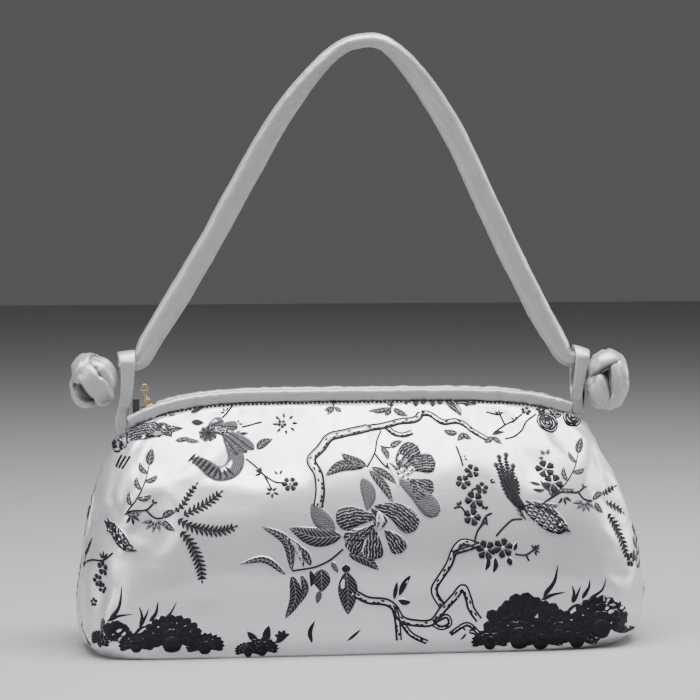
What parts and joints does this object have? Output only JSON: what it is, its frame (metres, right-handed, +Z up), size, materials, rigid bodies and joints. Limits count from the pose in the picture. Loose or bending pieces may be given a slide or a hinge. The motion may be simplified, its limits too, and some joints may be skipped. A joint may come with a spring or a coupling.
{
  "type": "evening handbag",
  "caption": "Small brocade evening handbag with a zipped, bound mouth, a flat base and a rolled satin strap knotted through a loop at each end.",
  "frame": {"origin": "middle of the base's flat underside, on the surface that the bag stands on", "axes": "+Z up, +X towards the right end of the mouth as seen from the front, -Y towards the front"},
  "size_m": [0.2599, 0.0862, 0.2754],
  "materials": {
    "brocade": "padded silver-white satin jacquard with woven charcoal motifs",
    "satin": "plain cool-grey satin, softly shiny",
    "zip_tape": "dark grey-brown woven zip tape",
    "brass": "antique gold, lightly worn"
  },
  "bodies": {
    "bag": {"front_panel": "brocade", "back_panel": "brocade", "base_panel": "brocade", "front_binding": "satin", "back_binding": "satin", "zip_tape": "zip_tape", "zip_chain": "brass", "zip_slider": "brass", "left_loop": "satin", "right_loop": "satin", "strap": "satin", "left_knot": "satin", "right_knot": "satin"},
    "pull": {"zip_pull": "brass"}
  },
  "joints": [
    {"name": "pull_hinge", "type": "hinge", "parent": "bag", "child": "pull", "pos_m": [-0.09567, 0, 0.11063], "axis": [0, 1, 0], "range_deg": [-12, 55]}
  ]
}
